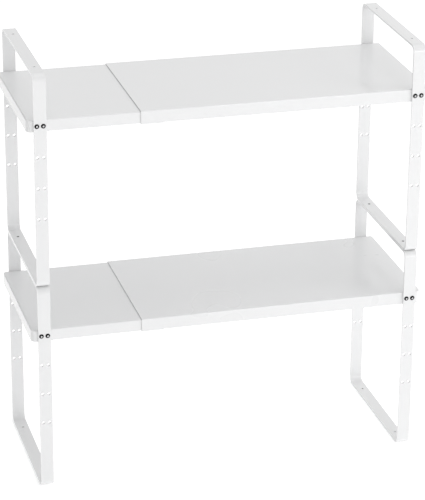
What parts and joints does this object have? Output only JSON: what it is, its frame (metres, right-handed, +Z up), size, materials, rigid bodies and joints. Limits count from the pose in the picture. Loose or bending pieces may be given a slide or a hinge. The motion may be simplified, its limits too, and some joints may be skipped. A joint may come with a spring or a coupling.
{
  "type": "tiered shelf riser",
  "caption": "Stacked shelf riser: bent strip side frames carry telescoping folded-sheet shelves, and the width is set by sliding them.",
  "frame": {"origin": "middle of the footprint, on the floor, at the rest width", "axes": "+X to the right along the shelves, +Y to the back, +Z up"},
  "size_m": [0.64, 0.254, 0.69],
  "materials": {
    "white_powder_coat": "satin powder coat",
    "black_oxide": "black oxide",
    "zinc_plate": "zinc plate"
  },
  "bodies": {
    "right_side": {"lower_right_frame": "white_powder_coat", "lower_outer_panel": "white_powder_coat", "lower_front_right_screws": "black_oxide", "lower_front_right_nuts": "zinc_plate", "lower_back_right_screws": "black_oxide", "lower_back_right_nuts": "zinc_plate", "upper_right_frame": "white_powder_coat", "upper_outer_panel": "white_powder_coat", "upper_front_right_screws": "black_oxide", "upper_front_right_nuts": "zinc_plate", "upper_back_right_screws": "black_oxide", "upper_back_right_nuts": "zinc_plate", "right_stacking_screws": "black_oxide"},
    "left_side": {"lower_left_frame": "white_powder_coat", "lower_inner_panel": "white_powder_coat", "lower_front_left_screws": "black_oxide", "lower_front_left_nuts": "zinc_plate", "lower_back_left_screws": "black_oxide", "lower_back_left_nuts": "zinc_plate", "upper_left_frame": "white_powder_coat", "upper_inner_panel": "white_powder_coat", "upper_front_left_screws": "black_oxide", "upper_front_left_nuts": "zinc_plate", "upper_back_left_screws": "black_oxide", "upper_back_left_nuts": "zinc_plate", "left_stacking_screws": "black_oxide"}
  },
  "joints": [
    {"name": "width_slide", "type": "slide", "parent": "right_side", "child": "left_side", "axis": [-1, 0, 0], "range_m": [-0.14, 0.12]}
  ]
}
